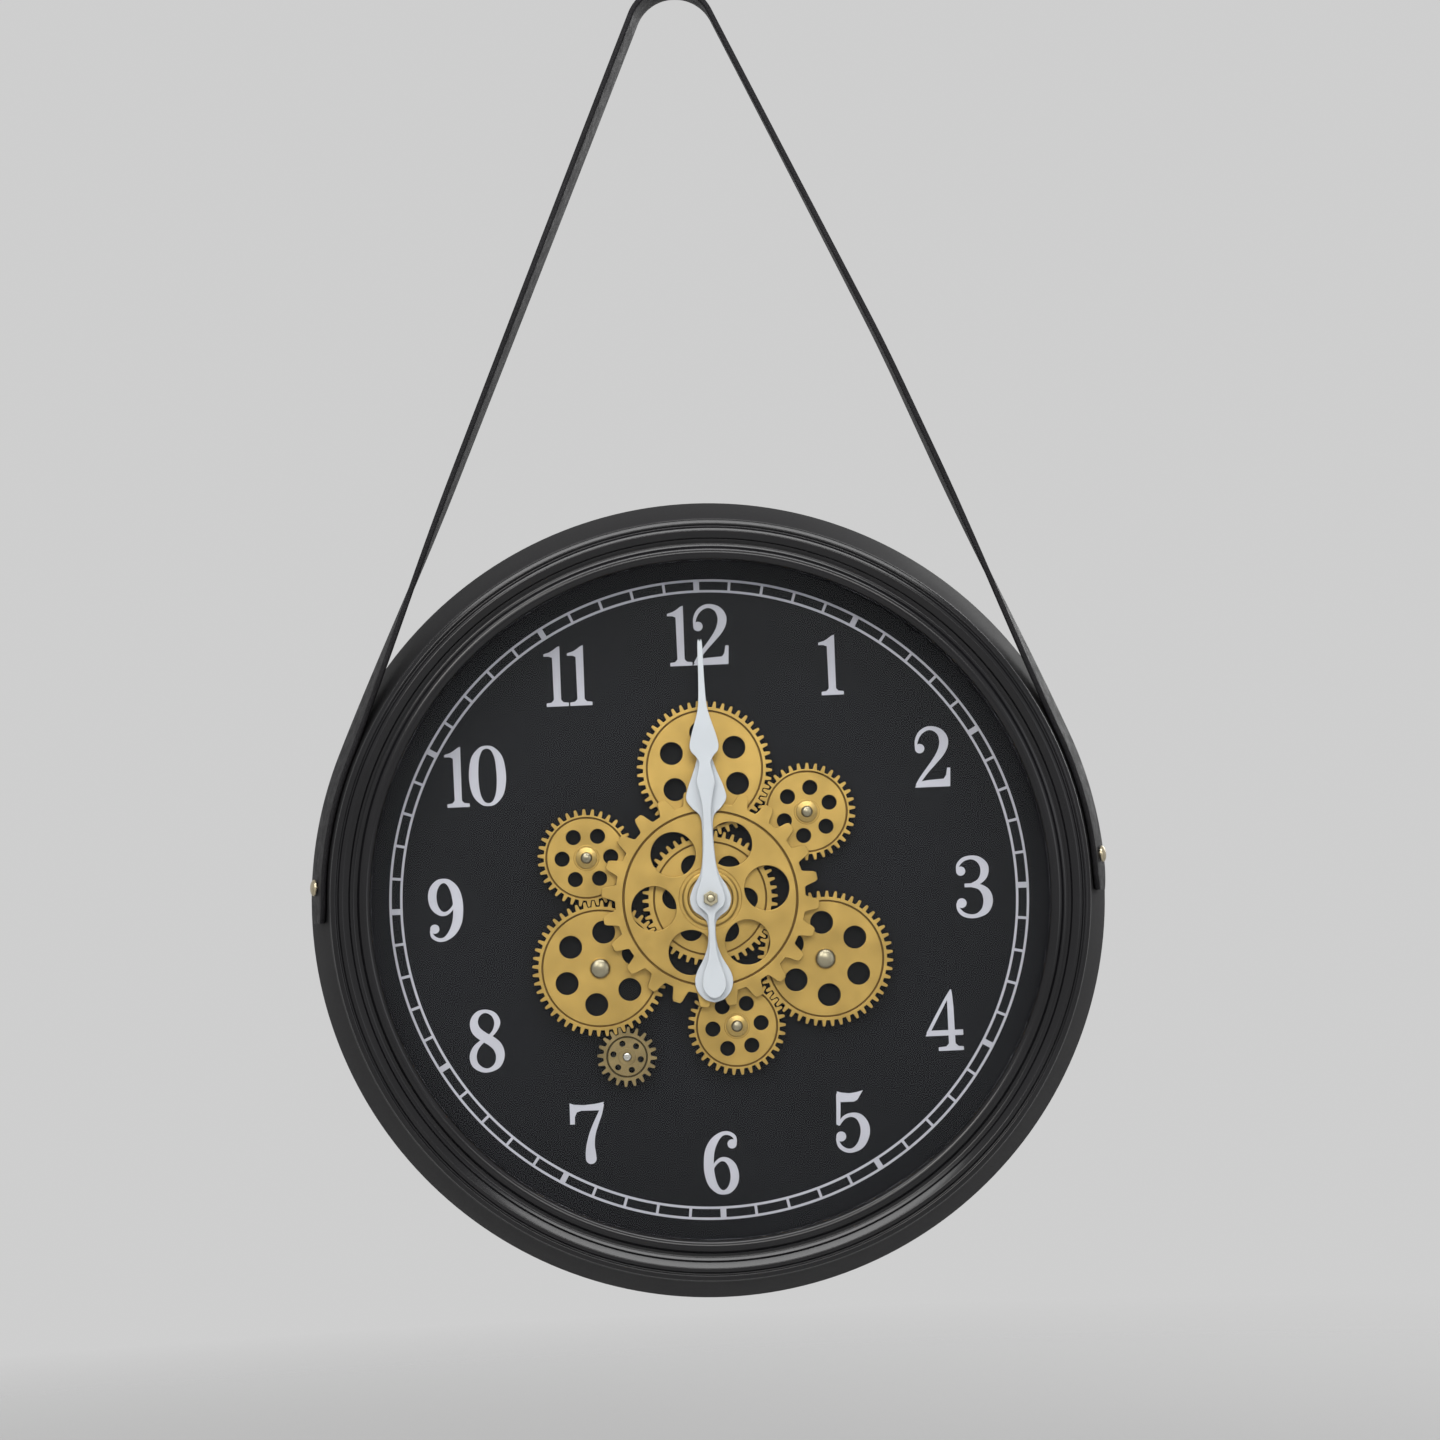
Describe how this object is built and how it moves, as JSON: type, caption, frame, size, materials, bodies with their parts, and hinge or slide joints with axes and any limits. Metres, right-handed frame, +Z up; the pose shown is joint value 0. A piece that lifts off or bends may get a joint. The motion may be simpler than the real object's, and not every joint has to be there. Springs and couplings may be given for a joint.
{
  "type": "wall clock with turning wheels",
  "caption": "Round black wall clock with gold toothed wheels turning in front of its dial, white hands behind glass, and a leather strap that hangs it from a hook.",
  "frame": {"origin": "where a hook takes the strap: middle of the strap's inner face at its highest point", "axes": "+Z up, -Y to the front of the dial, +X to the right of someone who reads it"},
  "size_m": [0.4, 0.062, 0.6563],
  "materials": {
    "black_lacquer": "satin black lacquer on a moulded case",
    "black_dial": "matt black",
    "black_plastic": "moulded",
    "clear_glass": "clear",
    "gold_wheel": "gold finish",
    "bronze_wheel": "dark bronze finish",
    "nickel": "bright",
    "brass": "bright",
    "white_hand": "white",
    "dark_leather": "black leather",
    "cell_wrap": "printed sleeve, left plain"
  },
  "bodies": {
    "clock_case": {"case_drum": "black_lacquer", "bezel_ring": "black_lacquer", "dial_plate": "black_dial", "back_cover": "black_plastic", "spacer_ring": "black_plastic", "movement_housing": "black_plastic", "battery_box": "black_plastic", "gear_motor": "black_plastic", "motor_nut": "black_plastic", "front_glass": "clear_glass", "hub_washer": "gold_wheel", "back_screw_1": "nickel", "back_screw_2": "nickel", "back_screw_3": "nickel", "back_screw_4": "nickel", "strap_nut_left": "nickel", "strap_nut_right": "nickel", "top_post": "nickel", "lower_left_post": "nickel", "lower_right_post": "nickel", "upper_right_post": "nickel", "left_post": "nickel", "bottom_post": "nickel", "top_screw": "nickel", "lower_left_screw": "nickel", "lower_right_screw": "nickel", "upper_right_screw": "nickel", "left_screw": "nickel", "bottom_screw": "nickel", "strap_screw_left": "brass", "strap_screw_right": "brass", "centre_bushing": "brass", "movement_nut": "brass", "hanging_strap": "dark_leather", "time_cell": "cell_wrap", "wheel_cell_1": "cell_wrap", "wheel_cell_2": "cell_wrap"},
    "centre_wheels": {"centre_wheel": "gold_wheel", "front_wheel": "gold_wheel"},
    "drive_pinion": {"drive_pinion": "bronze_wheel", "motor_shaft": "nickel"},
    "minute_hand": {"minute_hand": "white_hand", "minute_arbor": "brass", "hand_nut": "brass"},
    "hour_hand": {"hour_hand": "white_hand", "hour_pipe": "brass"},
    "time_set_knob": {"time_set_knob": "black_plastic"},
    "top_wheel": {"top_wheel": "gold_wheel"},
    "lower_left_wheel": {"lower_left_wheel": "gold_wheel"},
    "lower_right_wheel": {"lower_right_wheel": "gold_wheel"},
    "upper_right_wheel": {"upper_right_wheel": "gold_wheel"},
    "left_wheel": {"left_wheel": "gold_wheel"},
    "bottom_wheel": {"bottom_wheel": "gold_wheel"}
  },
  "joints": [
    {"name": "centre_wheels_spin", "type": "hinge", "parent": "clock_case", "child": "centre_wheels", "pos_m": [0, 0.005, -0.4535], "axis": [0, 1, 0], "continuous": true},
    {"name": "top_wheel_spin", "type": "hinge", "parent": "clock_case", "child": "top_wheel", "pos_m": [0, 0.007, -0.3887], "axis": [0, 1, 0], "continuous": true},
    {"name": "lower_left_wheel_spin", "type": "hinge", "parent": "clock_case", "child": "lower_left_wheel", "pos_m": [-0.05612, 0.007, -0.4859], "axis": [0, 1, 0], "continuous": true},
    {"name": "lower_right_wheel_spin", "type": "hinge", "parent": "clock_case", "child": "lower_right_wheel", "pos_m": [0.05612, 0.007, -0.4859], "axis": [0, 1, 0], "continuous": true},
    {"name": "upper_right_wheel_spin", "type": "hinge", "parent": "clock_case", "child": "upper_right_wheel", "pos_m": [0.05005, 0.007, -0.41234], "axis": [0, 1, 0], "continuous": true},
    {"name": "left_wheel_spin", "type": "hinge", "parent": "clock_case", "child": "left_wheel", "pos_m": [-0.06067, 0.007, -0.43074], "axis": [0, 1, 0], "continuous": true},
    {"name": "bottom_wheel_spin", "type": "hinge", "parent": "clock_case", "child": "bottom_wheel", "pos_m": [0.01062, 0.007, -0.51742], "axis": [0, 1, 0], "continuous": true},
    {"name": "drive_pinion_spin", "type": "hinge", "parent": "clock_case", "child": "drive_pinion", "pos_m": [-0.04463, 0.007, -0.53034], "axis": [0, 1, 0], "continuous": true},
    {"name": "minute_hand_spin", "type": "hinge", "parent": "clock_case", "child": "minute_hand", "pos_m": [0, -0.0087, -0.4535], "axis": [0, 1, 0], "continuous": true},
    {"name": "hour_hand_spin", "type": "hinge", "parent": "clock_case", "child": "hour_hand", "pos_m": [0, -0.0055, -0.4535], "axis": [0, 1, 0], "continuous": true},
    {"name": "time_set_knob_turn", "type": "hinge", "parent": "clock_case", "child": "time_set_knob", "pos_m": [0.012, 0.033, -0.4415], "axis": [0, 1, 0], "continuous": true}
  ],
  "couplings": [
    {"joint": "top_wheel_spin", "follows": "centre_wheels_spin", "ratio": -1},
    {"joint": "lower_left_wheel_spin", "follows": "centre_wheels_spin", "ratio": -1},
    {"joint": "lower_right_wheel_spin", "follows": "centre_wheels_spin", "ratio": -1},
    {"joint": "upper_right_wheel_spin", "follows": "centre_wheels_spin", "ratio": 1.4118},
    {"joint": "left_wheel_spin", "follows": "centre_wheels_spin", "ratio": 1.4118},
    {"joint": "bottom_wheel_spin", "follows": "centre_wheels_spin", "ratio": 1.4118},
    {"joint": "drive_pinion_spin", "follows": "centre_wheels_spin", "ratio": 2.4},
    {"joint": "hour_hand_spin", "follows": "minute_hand_spin", "ratio": 0.083333},
    {"joint": "time_set_knob_turn", "follows": "minute_hand_spin", "ratio": 1}
  ]
}
